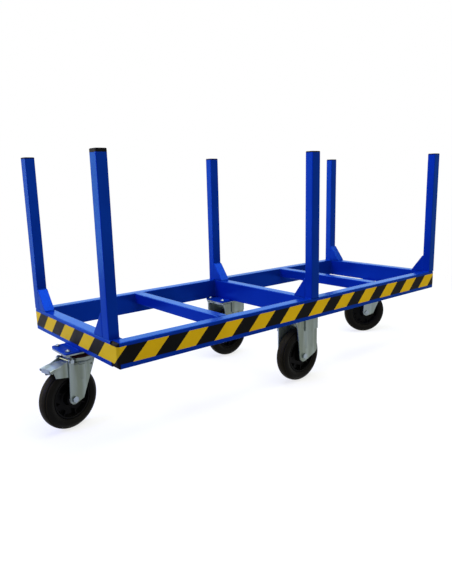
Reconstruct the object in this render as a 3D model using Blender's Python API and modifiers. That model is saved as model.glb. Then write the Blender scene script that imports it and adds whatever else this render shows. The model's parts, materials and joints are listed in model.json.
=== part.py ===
"""Long profile trolley: a welded tube frame with six uprights, carried on four casters.

Lengths are in metres and +Z is up. +X runs along the trolley towards the rear end, and the
brake pedal is at the front, -X end. -Y is the near long side. The floor is z = 0.
"""
import math

import bmesh
import bpy
from mathutils import Matrix, Vector

# Frame tubes
FRAME_LENGTH = 1.600
FRAME_WIDTH = 0.600
RAIL_HEIGHT = 0.076
RAIL_WIDTH = 0.040
LIGHT_BAR_HEIGHT = 0.040
LIGHT_BAR_WIDTH = 0.040
LIGHT_BAR_PLACE = 0.400
TUBE_WALL = 0.003
TUBE_CORNER = 0.004
CORNER_STEPS = 2

# Uprights, measured over their caps: the front pair is turned, and its near one stands inside
# the long rail
UPRIGHT_WIDE = 0.040
UPRIGHT_NARROW = 0.034
UPRIGHT_LENGTH = 0.515
UPRIGHT_INSET = 0.045

# Plastic plugs in the open tube ends
CAP_HEAD = 0.004
TALL_CAP_HEAD = 0.010
CAP_EDGE = 0.0012
RAIL_PLUG_HEAD = 0.007
RAIL_PLUG_EDGE = 0.006
CAP_SKIRT_DEPTH = 0.016
CAP_SKIRT_WALL = 0.002

# Folded sheet gussets at the feet of the uprights
GUSSET_HEIGHT = 0.070
GUSSET_REACH = 0.053
GUSSET_NOSE = 0.004
GUSSET_SHEET = 0.003

# Painted plates that carry the casters
PLATE_LENGTH = 0.135
PLATE_WIDTH = 0.115
PLATE_THICKNESS = 0.005
PLATE_CORNER = 0.010
BOLT_SPACING_LONG = 0.105
BOLT_SPACING_WIDE = 0.080
BOLT_HOLE_RADIUS = 0.0055
HOLE_SEGMENTS = 8

# Caster places: the swivel axes lie under the end rails, the fixed ones in from the long sides
FIXED_INSET = 0.0875
FRONT_SWIVEL_TURN = math.radians(12.0)
REAR_SWIVEL_TURN = math.radians(-30.0)

# Wheels: rubber tyre on a ribbed plastic rim with a sleeve bearing
WHEEL_RADIUS = 0.100
TYRE_WIDTH = 0.050
TYRE_SHOULDER = 0.022
TYRE_SEAT_RADIUS = 0.066
TYRE_SEAT_WIDTH = 0.042
TYRE_GROOVE_DEPTH = 0.0016
RIM_FLANGE = 0.006
RIM_WEB = 0.009
RIM_RIBS = 8
RIM_RIB_THICKNESS = 0.0035
RIM_RIB_HEIGHT = 0.015
HUB_RADIUS = 0.023
HUB_WIDTH = 0.053
BEARING_RADIUS = 0.0165
BEARING_LENGTH = 0.055
AXLE_SLEEVE_RADIUS = 0.010
AXLE_BOLT_RADIUS = 0.006
AXLE_HEAD_RADIUS = 0.0105
AXLE_HEAD_HEIGHT = 0.0065
WHEEL_SEGMENTS = 24
HEAD_SEGMENTS = 18
SMALL_SEGMENTS = 12
BALL_RINGS = 6
ARC_STEPS = 5
BEND_STEPS = 3

# Caster forks, pressed from sheet
FORK_GAP = 0.058
FORK_SHEET = 0.004
FORK_BEND = 0.012
TOP_PLATE_WIDTH = 0.110
TOP_PLATE_THICKNESS = 0.005
TOP_PLATE_CORNER = 0.008
TOP_PLATE_LIP = 0.004

# Swivel head, from the wheel's top upwards
CROWN_CLEARANCE = 0.0135
HEAD_HEIGHT = 0.0272
BOWL_RADIUS = 0.0435
BOWL_WALL = 0.005
BOWL_RISE = 0.010
BOWL_LIP = 0.0005
RACE_RADIUS = 0.034
SEAL_HEIGHT = 0.009
KINGPIN_RADIUS = 0.008
KINGPIN_NUT_RADIUS = 0.012
KINGPIN_NUT_HEIGHT = 0.009

# Swivel fork legs, seen from the side
TRAIL = 0.052
LEG_END_RADIUS = 0.0165
LEG_FRONT_TOP = 0.010
LEG_KNEE_REACH = 0.034
LEG_KNEE_DROP = 0.0055
LEG_REAR_TOP = 0.037
LEG_SWAGE_RADIUS = 0.018
LEG_SWAGE_RISE = 0.005
LEG_SWAGE_CENTRE = -0.016
LEG_SWAGE_DROP = 0.066
LEG_HOLE_RADIUS = 0.003
LEG_HOLE_PLACE = 0.019
LEG_HOLE_DROP = 0.016

# Brake pedal of the front caster; its line runs forward and down from its pin
PEDAL_PIN_REACH = 0.054
PEDAL_PIN_RISE = 0.006
PEDAL_PIN_RADIUS = 0.004
PEDAL_PIN_HEAD_RADIUS = 0.0075
PEDAL_PIN_HEAD_HEIGHT = 0.005
PEDAL_EAR_RADIUS = 0.009
PEDAL_LUG_RADIUS = 0.007
PEDAL_SHEET = 0.0025
PEDAL_LINE = ((0.006, -0.0085), (-0.036, -0.013), (-0.055, -0.0152), (-0.0695, -0.018))
PEDAL_ROLL_RADIUS = 0.005
PEDAL_ROLL_BORE = 0.003
PEDAL_SKIRT_BACK = (-0.010, -0.050)
PEDAL_SKIRT_TIP = (-0.0545, -0.041)
BRAKE_SHOE_START = 0.010
BRAKE_SHOE_LENGTH = 0.014
BRAKE_SHOE_WIDTH = 0.034
BRAKE_GAP = 0.003

# Fixed fork: two equal pressings, each the other one turned half round
FIXED_LEG_FRONT = 0.034
FIXED_LEG_FRONT_TOP = 0.052
FIXED_LEG_SHOULDER = 0.030
FIXED_LEG_END_RADIUS = 0.022
FIXED_LEG_REAR = 0.072
FIXED_LEG_CORNER = 0.012
FIXED_LEG_REAR_RISE = 0.012
FIXED_COLLAR_FRONT = 0.003
FIXED_COLLAR_DEPTH = 0.048
FIXED_COLLAR_RISE = 0.005
FIXED_RIB_PLACES = (0.014, 0.045)
FIXED_RIB_RADIUS = 0.013
FIXED_RIB_RISE = 0.004
FIXED_RIB_FOOT = 0.022
FIXED_HOLE_PLACE = -0.024
FIXED_HOLE_DROP = 0.016

# Gap left between pieces that touch, and how far joined shapes run into each other
FIT = 0.0003
BITE = 0.001
FLATS = 1.0 / math.cos(math.pi / WHEEL_SEGMENTS)
SMOOTH_ANGLE = math.radians(35.0)

# Heights worked out from the sizes above
AXLE_HEIGHT = WHEEL_RADIUS
CROWN_UNDER = 2 * WHEEL_RADIUS + CROWN_CLEARANCE
CROWN_TOP = CROWN_UNDER + FORK_SHEET
TOP_PLATE_UNDER = CROWN_TOP + HEAD_HEIGHT
TOP_PLATE_TOP = TOP_PLATE_UNDER + TOP_PLATE_THICKNESS
PLATE_UNDER = TOP_PLATE_TOP + FIT
RAIL_BOTTOM = PLATE_UNDER + PLATE_THICKNESS
RAIL_TOP = RAIL_BOTTOM + RAIL_HEIGHT
LEG_INNER = FORK_GAP / 2
LEG_OUTER = LEG_INNER + FORK_SHEET
EAR_OUTER = LEG_OUTER + BITE / 4
END_RAIL_X = (FRAME_LENGTH - RAIL_WIDTH) / 2
LONG_RAIL_Y = (FRAME_WIDTH - RAIL_WIDTH) / 2
CROSS_LENGTH = FRAME_WIDTH - 2 * RAIL_WIDTH - 2 * FIT
PLUG_SEAT = RAIL_PLUG_HEAD + FIT
FIXED_Y = FRAME_WIDTH / 2 - FIXED_INSET

# Turning a flat outline into the plane it is drawn in
SIDE_VIEW = Matrix(((1, 0, 0, 0), (0, 0, -1, 0), (0, 1, 0, 0), (0, 0, 0, 1)))
END_VIEW = Matrix(((0, 0, 1, 0), (1, 0, 0, 0), (0, 1, 0, 0), (0, 0, 0, 1)))
ALONG_X = (0.0, math.radians(90.0), 0.0)
AGAINST_X = (0.0, math.radians(-90.0), 0.0)
ALONG_Y = (math.radians(-90.0), 0.0, 0.0)


def clear_scene():
    """Remove whatever the scene holds."""
    for obj in list(bpy.data.objects):
        bpy.data.objects.remove(obj, do_unlink=True)


def add_collection(name):
    """Make a collection under the scene's own."""
    collection = bpy.data.collections.new(name)
    bpy.context.scene.collection.children.link(collection)
    return collection


clear_scene()
TROLLEY = add_collection("long_profile_trolley")
CUTTERS = add_collection("trolley_cutters")
MADE = {}


def paint(name, colour, roughness, metallic):
    """Make a plain Principled material."""
    material = bpy.data.materials.new(name)
    material.use_nodes = True
    shader = material.node_tree.nodes["Principled BSDF"]
    shader.inputs["Base Color"].default_value = (*colour, 1.0)
    shader.inputs["Roughness"].default_value = roughness
    shader.inputs["Metallic"].default_value = metallic
    return material


BLUE_PAINT = paint("blue_paint", (0.010, 0.045, 0.42), 0.30, 0.0)
BLACK_PLASTIC = paint("black_plastic", (0.012, 0.012, 0.014), 0.55, 0.0)
ZINC = paint("zinc_plated_steel", (0.46, 0.50, 0.48), 0.35, 1.0)
RUBBER = paint("black_rubber", (0.010, 0.010, 0.010), 0.70, 0.0)
SEAL_RED = paint("dark_red_seal", (0.09, 0.004, 0.006), 0.50, 0.0)
BEARING_STEEL = paint("bearing_steel", (0.55, 0.55, 0.55), 0.25, 1.0)


def add_empty(name, place, turn=0.0, parent=None):
    """An empty that carries pieces, turned about +Z."""
    empty = bpy.data.objects.new(name, None)
    empty.location = place
    empty.rotation_euler = (0.0, 0.0, turn)
    empty.parent = parent
    TROLLEY.objects.link(empty)
    return empty


def finish(obj, name, material, parent, place=(0.0, 0.0, 0.0), rotation=(0.0, 0.0, 0.0)):
    """Name a shape, give it its material and hang it on its carrier."""
    obj.name = name
    obj.data.name = name
    obj.data.materials.clear()
    obj.data.materials.append(material)
    obj.data.shade_smooth()
    obj.data.set_sharp_from_angle(angle=SMOOTH_ANGLE)
    obj.parent = parent
    obj.location = place
    obj.rotation_euler = rotation
    CUTTERS.objects.unlink(obj)
    TROLLEY.objects.link(obj)
    return obj


def put(key, make, name, material, parent, place=(0.0, 0.0, 0.0), rotation=(0.0, 0.0, 0.0)):
    """Make a piece the first time its key is asked for, and share its mesh afterwards."""
    if key not in MADE:
        MADE[key] = finish(make(), name, material, parent, place, rotation)
        return MADE[key]
    twin = bpy.data.objects.new(name, MADE[key].data)
    twin.parent = parent
    twin.location = place
    twin.rotation_euler = rotation
    TROLLEY.objects.link(twin)
    return twin


def shape_from(bm):
    """Put a bmesh into a new object among the cutters, until it is finished."""
    mesh = bpy.data.meshes.new("shape")
    bm.to_mesh(mesh)
    bm.free()
    obj = bpy.data.objects.new("shape", mesh)
    obj.hide_render = False
    CUTTERS.objects.link(obj)
    return obj


def bake(obj):
    """Replace an object's data by its evaluated mesh, with its seams closed."""
    depsgraph = bpy.context.evaluated_depsgraph_get()
    mesh = bpy.data.meshes.new_from_object(obj.evaluated_get(depsgraph))
    bm = bmesh.new()
    bm.from_mesh(mesh)
    bmesh.ops.remove_doubles(bm, verts=bm.verts, dist=1e-6)
    bmesh.ops.recalc_face_normals(bm, faces=bm.faces)
    bm.to_mesh(mesh)
    bm.free()
    if obj.type == "MESH":
        obj.modifiers.clear()
        obj.data = mesh
        return obj
    solid = bpy.data.objects.new("shape", mesh)
    solid.matrix_world = obj.matrix_world
    CUTTERS.objects.link(solid)
    bpy.data.objects.remove(obj, do_unlink=True)
    return solid


def combine(target, tool, operation):
    """Join, cut or intersect two closed shapes, and use the tool up."""
    step = target.modifiers.new(operation.lower(), "BOOLEAN")
    step.operation = operation
    step.object = tool
    bpy.context.view_layer.update()
    bake(target)
    bpy.data.objects.remove(tool, do_unlink=True)
    return target


def join(target, *tools):
    """Weld shapes onto a target."""
    for tool in tools:
        combine(target, tool, "UNION")
    return target


def cut(target, *tools):
    """Cut shapes out of a target."""
    for tool in tools:
        combine(target, tool, "DIFFERENCE")
    return target


def box(low, high, corner=0.0, axis=2):
    """A block between two corners, its edges along one axis rounded."""
    low = Vector(low)
    high = Vector(high)
    bm = bmesh.new()
    bmesh.ops.create_cube(bm, size=1.0)
    bmesh.ops.scale(bm, vec=high - low, verts=bm.verts)
    bmesh.ops.translate(bm, vec=(low + high) / 2, verts=bm.verts)
    if corner > 0.0:
        edges = [e for e in bm.edges if abs((e.verts[0].co - e.verts[1].co).normalized()[axis]) > 0.9]
        bmesh.ops.bevel(bm, geom=edges, offset=corner, segments=CORNER_STEPS, profile=0.5,
                        affect="EDGES")
    return shape_from(bm)


def rod(radius, start, end, segments=SMALL_SEGMENTS, axis="Z", place=(0.0, 0.0)):
    """A cylinder along an axis from start to end; place gives its other two coordinates."""
    bm = bmesh.new()
    bmesh.ops.create_cone(bm, cap_ends=True, segments=segments, radius1=radius, radius2=radius,
                          depth=end - start)
    bmesh.ops.translate(bm, vec=(0.0, 0.0, (start + end) / 2), verts=bm.verts)
    if axis == "Y":
        bmesh.ops.rotate(bm, matrix=Matrix.Rotation(-math.pi / 2, 3, "X"), verts=bm.verts)
        bmesh.ops.translate(bm, vec=(place[0], 0.0, place[1]), verts=bm.verts)
    else:
        bmesh.ops.translate(bm, vec=(place[0], place[1], 0.0), verts=bm.verts)
    return shape_from(bm)


def arc(centre, radius, start, end, steps):
    """Points on an arc, angles in degrees."""
    points = []
    for i in range(steps + 1):
        angle = math.radians(start + (end - start) * i / steps)
        points.append((centre[0] + radius * math.cos(angle), centre[1] + radius * math.sin(angle)))
    return points


def prism(outline, low, high, view):
    """Extrude a flat outline between two planes; view says which plane it is drawn in."""
    curve = bpy.data.curves.new("outline", "CURVE")
    curve.dimensions = "2D"
    curve.fill_mode = "BOTH"
    curve.extrude = (high - low) / 2
    spline = curve.splines.new("POLY")
    spline.points.add(len(outline) - 1)
    for point, (u, v) in zip(spline.points, outline):
        point.co = (u, v, 0.0, 1.0)
    spline.use_cyclic_u = True
    obj = bpy.data.objects.new("outline", curve)
    CUTTERS.objects.link(obj)
    bpy.context.view_layer.update()
    solid = bake(obj)
    solid.data.transform(view @ Matrix.Translation((0.0, 0.0, (low + high) / 2)))
    return solid


def lathe(profile, segments):
    """Turn a closed (radius, height) profile about Z; it runs down its outer side first."""
    mesh = bpy.data.meshes.new("profile")
    count = len(profile)
    edges = [(i, (i + 1) % count) for i in range(count)]
    mesh.from_pydata([(r, 0.0, z) for r, z in profile], edges, [])
    obj = bpy.data.objects.new("profile", mesh)
    CUTTERS.objects.link(obj)
    screw = obj.modifiers.new("turn", "SCREW")
    screw.steps = segments
    screw.render_steps = segments
    screw.use_merge_vertices = True
    screw.merge_threshold = 1e-6
    bpy.context.view_layer.update()
    return bake(obj)


def clear_radius(radius, segments):
    """Radius of a faceted hole whose flats clear a round piece by the fit."""
    return (radius + FIT) / math.cos(math.pi / segments)


def tube(size_a, size_b, length):
    """A rounded rectangular tube along Z, open at both ends."""
    bm = bmesh.new()
    bmesh.ops.create_cube(bm, size=1.0)
    bmesh.ops.scale(bm, vec=(size_a, size_b, length), verts=bm.verts)
    ends = [f for f in bm.faces if abs(f.normal.z) > 0.9]
    bmesh.ops.delete(bm, geom=ends, context="FACES_ONLY")
    obj = shape_from(bm)
    rounding = obj.modifiers.new("corners", "BEVEL")
    rounding.width = TUBE_CORNER
    rounding.segments = CORNER_STEPS
    wall = obj.modifiers.new("wall", "SOLIDIFY")
    wall.thickness = TUBE_WALL
    wall.offset = -1.0
    wall.use_even_offset = True
    bpy.context.view_layer.update()
    return bake(obj)


def plug(size_a, size_b, head, edge):
    """A tube end plug: a head with bevelled edges above z = 0 and a hollow skirt below it."""
    bm = bmesh.new()
    bmesh.ops.create_cube(bm, size=1.0)
    bmesh.ops.scale(bm, vec=(size_a, size_b, head), verts=bm.verts)
    bmesh.ops.translate(bm, vec=(0.0, 0.0, head / 2), verts=bm.verts)
    rim = [e for e in bm.edges if min(v.co.z for v in e.verts) > head - BITE / 10]
    bmesh.ops.bevel(bm, geom=rim, offset=edge, segments=1, profile=0.5, affect="EDGES")
    posts = [e for e in bm.edges if abs(e.verts[0].co.z - e.verts[1].co.z) > BITE / 10]
    bmesh.ops.bevel(bm, geom=posts, offset=TUBE_CORNER, segments=CORNER_STEPS, profile=0.5,
                    affect="EDGES")
    cap = shape_from(bm)
    inset = TUBE_WALL + FIT
    a, b = size_a / 2 - inset, size_b / 2 - inset
    join(cap, box((-a, -b, -CAP_SKIRT_DEPTH), (a, b, BITE), TUBE_CORNER - inset))
    a, b = a - CAP_SKIRT_WALL, b - CAP_SKIRT_WALL
    return cut(cap, box((-a, -b, -CAP_SKIRT_DEPTH - BITE), (a, b, -BITE)))


def build_frame(root):
    """The welded base. The near rail runs the whole length; the front end rail runs out to the
    far side, where the far rail meets it."""
    middle = RAIL_BOTTOM + RAIL_HEIGHT / 2
    near_length = FRAME_LENGTH - 2 * PLUG_SEAT
    far_length = FRAME_LENGTH - RAIL_WIDTH - FIT - PLUG_SEAT
    front_length = FRAME_WIDTH - RAIL_WIDTH - FIT - PLUG_SEAT
    offset = (RAIL_WIDTH + FIT - PLUG_SEAT) / 2
    put("near_rail", lambda: tube(RAIL_HEIGHT, RAIL_WIDTH, near_length), "long_rail_near",
        BLUE_PAINT, root, (0.0, -LONG_RAIL_Y, middle), ALONG_X)
    put("far_rail", lambda: tube(RAIL_HEIGHT, RAIL_WIDTH, far_length), "long_rail_far",
        BLUE_PAINT, root, (offset, LONG_RAIL_Y, middle), ALONG_X)
    put("front_rail", lambda: tube(RAIL_WIDTH, RAIL_HEIGHT, front_length), "end_rail_front",
        BLUE_PAINT, root, (-END_RAIL_X, offset, middle), ALONG_Y)
    for name, x in (("end_rail_rear", END_RAIL_X), ("middle_crossbar", 0.0)):
        put("cross_rail", lambda: tube(RAIL_WIDTH, RAIL_HEIGHT, CROSS_LENGTH), name,
            BLUE_PAINT, root, (x, 0.0, middle), ALONG_Y)
    light = RAIL_TOP - LIGHT_BAR_HEIGHT / 2
    for name, x in (("front", -LIGHT_BAR_PLACE), ("rear", LIGHT_BAR_PLACE)):
        put("light_bar", lambda: tube(LIGHT_BAR_WIDTH, LIGHT_BAR_HEIGHT, CROSS_LENGTH),
            "light_crossbar_" + name, BLUE_PAINT, root, (x, 0.0, light), ALONG_Y)
    end = FRAME_LENGTH / 2 - RAIL_PLUG_HEAD
    for name, x, y, turn in (("front_near", -end, -LONG_RAIL_Y, AGAINST_X),
                             ("rear_near", end, -LONG_RAIL_Y, ALONG_X),
                             ("rear_far", end, LONG_RAIL_Y, ALONG_X)):
        put("rail_plug", lambda: plug(RAIL_HEIGHT, RAIL_WIDTH, RAIL_PLUG_HEAD, RAIL_PLUG_EDGE),
            "rail_plug_" + name, BLACK_PLASTIC, root, (x, y, middle), turn)
    put("cross_plug", lambda: plug(RAIL_WIDTH, RAIL_HEIGHT, RAIL_PLUG_HEAD, RAIL_PLUG_EDGE),
        "rail_plug_front_far", BLACK_PLASTIC, root,
        (-END_RAIL_X, FRAME_WIDTH / 2 - RAIL_PLUG_HEAD, middle), ALONG_Y)


def gusset(width):
    """A folded triangular box, open at its back and foot, reaching along +Y from y = 0."""
    outer = [(FIT, FIT), (GUSSET_REACH, FIT), (GUSSET_REACH, GUSSET_NOSE),
             (GUSSET_NOSE, GUSSET_HEIGHT), (FIT, GUSSET_HEIGHT)]
    rise = GUSSET_HEIGHT - GUSSET_NOSE
    run = GUSSET_REACH - GUSSET_NOSE
    sunk = GUSSET_SHEET * math.hypot(rise, run) / run
    back = -GUSSET_SHEET
    high = GUSSET_HEIGHT + (GUSSET_NOSE - back) * rise / run - sunk
    inner = [(back, back), (back + (high - back) * run / rise, back), (back, high)]
    body = prism(outer, -width / 2, width / 2, END_VIEW)
    hollow = prism(inner, -width / 2 + GUSSET_SHEET, width / 2 - GUSSET_SHEET, END_VIEW)
    return cut(body, hollow)


def build_uprights(root):
    """Six posts with their caps and gussets; each gusset points across the trolley."""
    foot = RAIL_TOP + FIT
    for where, end in (("front", -1.0), ("middle", 0.0), ("rear", 1.0)):
        turned = where == "front"
        along, across = (UPRIGHT_NARROW, UPRIGHT_WIDE) if turned else (UPRIGHT_WIDE, UPRIGHT_NARROW)
        turn = (0.0, 0.0, math.pi / 2 if turned else 0.0)
        x = end * (FRAME_LENGTH - along) / 2
        for side, sign in (("near", -1.0), ("far", 1.0)):
            name = where + "_" + side
            inset = turned and side == "near"
            y = sign * ((FRAME_WIDTH - across) / 2 - (UPRIGHT_INSET if inset else 0.0))
            head = TALL_CAP_HEAD if inset else CAP_HEAD
            length = UPRIGHT_LENGTH - head
            put("upright_" + str(head), lambda: tube(UPRIGHT_WIDE, UPRIGHT_NARROW, length),
                "upright_" + name, BLUE_PAINT, root, (x, y, foot + length / 2), turn)
            put("gusset_" + str(along), lambda: gusset(along), "gusset_" + name, BLUE_PAINT, root,
                (x, y - sign * across / 2, RAIL_TOP), (0.0, 0.0, 0.0 if sign < 0 else math.pi))
            put("cap_" + str(head), lambda: plug(UPRIGHT_WIDE, UPRIGHT_NARROW, head, CAP_EDGE),
                "upright_cap_" + name, BLACK_PLASTIC, root, (x, y, foot + length + FIT), turn)


def drill_plate(plate, low, high):
    """Cut the four bolt holes of a caster plate."""
    for x in (-BOLT_SPACING_LONG / 2, BOLT_SPACING_LONG / 2):
        for y in (-BOLT_SPACING_WIDE / 2, BOLT_SPACING_WIDE / 2):
            cut(plate, rod(BOLT_HOLE_RADIUS, low - BITE, high + BITE, segments=HOLE_SEGMENTS,
                            place=(x, y)))
    return plate


def caster_plate(width, corner, low, high):
    """A rounded flat plate with the bolt holes, centred on the caster."""
    half = Vector((PLATE_LENGTH / 2, width / 2))
    return drill_plate(box((-half.x, -half.y, low), (half.x, half.y, high), corner), low, high)


def build_mounting_plates(carriers):
    """Painted plates welded under the frame, one over each caster."""
    for where, carrier in carriers.items():
        put("mounting_plate", lambda: caster_plate(PLATE_WIDTH, PLATE_CORNER, PLATE_UNDER,
                                                   RAIL_BOTTOM - FIT),
            "mounting_plate_" + where, BLUE_PAINT, carrier)


def tyre_profile(scale):
    """Closed section of the round-shouldered tyre; scale sets the flats at the wheel radius."""
    half = TYRE_WIDTH / 2
    seat = (TYRE_SEAT_RADIUS + FIT, TYRE_SEAT_WIDTH / 2)
    centre = (WHEEL_RADIUS - TYRE_SHOULDER, half - TYRE_SHOULDER)
    side = []
    for angle, depth in ((90, 0), (58, 0), (44, 0), (38, TYRE_GROOVE_DEPTH), (32, 0), (0, 0)):
        side += arc(centre, TYRE_SHOULDER - depth, angle, angle, 1)[:1]
    upper = [seat] + side
    lower = [(r, -z) for r, z in reversed(upper)]
    return [(r * scale, z) for r, z in upper + lower]


def rim_profile(scale):
    """Closed section of the rim: hub, web and flange."""
    rim = TYRE_SEAT_RADIUS
    flange = TYRE_SEAT_WIDTH / 2
    web = RIM_WEB / 2
    hub = HUB_WIDTH / 2
    bore = clear_radius(BEARING_RADIUS, WHEEL_SEGMENTS)
    upper = [(bore, hub), (HUB_RADIUS, hub), (HUB_RADIUS + RIM_FLANGE / 2, web),
             (rim - 2 * RIM_FLANGE, web), (rim - RIM_FLANGE, flange)]
    outer = [(rim * scale, flange)]
    return outer + [(r, -z) for r, z in outer + upper[::-1]] + upper


def rim_ribs():
    """Radial ribs on both sides of the web, as one loose set of blocks."""
    start = HUB_RADIUS - BITE
    end = TYRE_SEAT_RADIUS - RIM_FLANGE
    bm = bmesh.new()
    for i in range(RIM_RIBS):
        made = bmesh.ops.create_cube(bm, size=1.0)
        verts = made["verts"]
        bmesh.ops.scale(bm, vec=(end - start, RIM_RIB_THICKNESS, 2 * RIM_RIB_HEIGHT), verts=verts)
        bmesh.ops.translate(bm, vec=((start + end) / 2, 0.0, 0.0), verts=verts)
        turn = Matrix.Rotation((i + 0.5) * 2 * math.pi / RIM_RIBS, 3, "Z")
        bmesh.ops.rotate(bm, matrix=turn, verts=verts)
    return shape_from(bm)


def lay_wheel(obj):
    """Turn a piece made about Z onto the axle, with a flat of its rim at the floor."""
    half_step = Matrix.Rotation(math.pi / WHEEL_SEGMENTS, 4, "Z")
    obj.data.transform(Matrix.Rotation(-math.pi / 2, 4, "X") @ half_step)
    return obj


def tyre():
    """Round-shouldered rubber tyre."""
    return lay_wheel(lathe(tyre_profile(FLATS), WHEEL_SEGMENTS))


def rim():
    """Plastic rim with its ribs."""
    return lay_wheel(join(lathe(rim_profile(FLATS), WHEEL_SEGMENTS), rim_ribs()))


def bearing():
    """Sleeve bearing in the hub."""
    inner = clear_radius(AXLE_SLEEVE_RADIUS, SMALL_SEGMENTS)
    half = BEARING_LENGTH / 2
    sleeve = [(BEARING_RADIUS, half), (BEARING_RADIUS, -half), (inner, -half), (inner, half)]
    return lay_wheel(lathe(sleeve, SMALL_SEGMENTS))


def axle():
    """Axle bolt with its spacer sleeve between the legs and a hex head at each end."""
    inside = LEG_INNER - FIT
    outside = LEG_OUTER + FIT
    head = outside + AXLE_HEAD_HEIGHT
    sleeve = rod(AXLE_SLEEVE_RADIUS, -inside, inside, axis="Y")
    return join(sleeve, rod(AXLE_BOLT_RADIUS, -head + BITE, head - BITE, axis="Y"),
                rod(AXLE_HEAD_RADIUS, outside, head, segments=6, axis="Y"),
                rod(AXLE_HEAD_RADIUS, -head, -outside, segments=6, axis="Y"))


def hang_wheel(where, carrier, axle_x):
    """Put one wheel and its axle on a caster, on an empty at the axle."""
    hub = add_empty("axle_line_" + where, (axle_x, 0.0, AXLE_HEIGHT), parent=carrier)
    put("tyre", tyre, "tyre_" + where, RUBBER, hub)
    put("rim", rim, "rim_" + where, BLACK_PLASTIC, hub)
    put("bearing", bearing, "bearing_" + where, BEARING_STEEL, hub)
    put("axle", axle, "axle_" + where, ZINC, hub)


def bent_sheet(outline, top, low, high):
    """A sheet bent into an upside-down U over the wheel, trimmed to a side outline."""
    middle = LEG_OUTER - FORK_BEND
    near, far = (-middle, top - FORK_BEND), (middle, top - FORK_BEND)
    inside = FORK_BEND - FORK_SHEET
    outer = arc(far, FORK_BEND, 0, 90, BEND_STEPS) + arc(near, FORK_BEND, 90, 180, BEND_STEPS)
    inner = arc(near, inside, 180, 90, BEND_STEPS) + arc(far, inside, 90, 0, BEND_STEPS)
    section = [(LEG_OUTER, 0.0)] + outer + [(-LEG_OUTER, 0.0), (-LEG_INNER, 0.0)] + inner
    sheet = prism(section + [(LEG_INNER, 0.0)], low, high, END_VIEW)
    return combine(sheet, prism(outline, -2 * LEG_OUTER, 2 * LEG_OUTER, SIDE_VIEW), "INTERSECT")


def both_legs(outline, start, end):
    """The same side outline laid on the outside of each leg."""
    return (prism(outline, -end, -start, SIDE_VIEW), prism(outline, start, end, SIDE_VIEW))


def swage(x, low, high, radius, rise, side):
    """A rounded rib for one leg: a rod with a ball foot, standing out of the sheet by its rise."""
    y = side * (LEG_OUTER + rise - radius)
    bm = bmesh.new()
    bmesh.ops.create_uvsphere(bm, u_segments=SMALL_SEGMENTS, v_segments=BALL_RINGS,
                             radius=radius)
    bmesh.ops.translate(bm, vec=(x, y, low + radius), verts=bm.verts)
    bar = rod(radius, low + radius, high, place=(x, y))
    return join(bar, shape_from(bm))


def clear_wheel_gap(fork, low, high):
    """Cut away what the ribs leave between the legs."""
    reach = FIXED_LEG_REAR + LEG_REAR_TOP
    return cut(fork, box((-reach, -LEG_INNER, low), (reach, LEG_INNER, high)))


def axle_hole(x):
    """Cutter for the axle bolt through both legs."""
    radius = clear_radius(AXLE_BOLT_RADIUS, SMALL_SEGMENTS)
    return rod(radius, -2 * LEG_OUTER, 2 * LEG_OUTER, axis="Y", place=(x, AXLE_HEIGHT))


def fixed_leg(top):
    """One pressed leg of a fixed fork with its half of the crown, on the near side."""
    shoulder = top - FIXED_LEG_SHOULDER
    foot = AXLE_HEIGHT + FIXED_LEG_REAR_RISE
    rear = FIXED_LEG_REAR
    outline = [(rear, top), (-FIXED_LEG_FRONT_TOP, top), (-FIXED_LEG_FRONT, shoulder)]
    outline += arc((0.0, AXLE_HEIGHT), FIXED_LEG_END_RADIUS, 180, 285, ARC_STEPS)
    outline += [(rear - FIXED_LEG_CORNER, foot - FIXED_LEG_CORNER), (rear, foot)]
    leg = bent_sheet(outline, top, -FIXED_LEG_FRONT_TOP - BITE, rear + BITE)
    collar_foot = TOP_PLATE_UNDER - FIXED_COLLAR_DEPTH
    collar = [(FIXED_COLLAR_FRONT, top), (FIXED_COLLAR_FRONT, collar_foot),
              (rear - BITE, collar_foot), (rear - BITE, top)]
    join(leg, prism(collar, LEG_OUTER - BITE, LEG_OUTER + FIXED_COLLAR_RISE, SIDE_VIEW))
    rib_foot = AXLE_HEIGHT + FIXED_RIB_FOOT
    rib_top = collar_foot + BITE
    for x in FIXED_RIB_PLACES:
        join(leg, swage(x, rib_foot, rib_top, FIXED_RIB_RADIUS, FIXED_RIB_RISE, -1.0))
    clear_wheel_gap(leg, 0.0, rib_top + BITE)
    hole = (FIXED_HOLE_PLACE, TOP_PLATE_UNDER - FIXED_HOLE_DROP)
    cut(leg, rod(LEG_HOLE_RADIUS, 0.0, 2 * LEG_OUTER, segments=HOLE_SEGMENTS, axis="Y", place=hole))
    far = 2 * FIXED_LEG_REAR
    return cut(leg, box((-far, 0.0, 0.0), (far, far, 2 * top)))


def fixed_fork():
    """Fork of a fixed caster: two equal legs under a top plate with turned-down end lips."""
    top = TOP_PLATE_UNDER + BITE
    fork = caster_plate(TOP_PLATE_WIDTH, TOP_PLATE_CORNER, TOP_PLATE_UNDER, TOP_PLATE_TOP)
    for half_turn in (0.0, math.pi):
        leg = fixed_leg(top)
        leg.data.transform(Matrix.Rotation(half_turn, 4, "Z"))
        join(fork, leg)
    end = PLATE_LENGTH / 2
    side = TOP_PLATE_WIDTH / 2 - TOP_PLATE_CORNER
    low = TOP_PLATE_UNDER - TOP_PLATE_LIP
    for x in (-end + BITE, end - BITE - FORK_SHEET):
        join(fork, box((x, -side, low), (x + FORK_SHEET, side, TOP_PLATE_UNDER + BITE)))
    return cut(fork, axle_hole(0.0))


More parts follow.
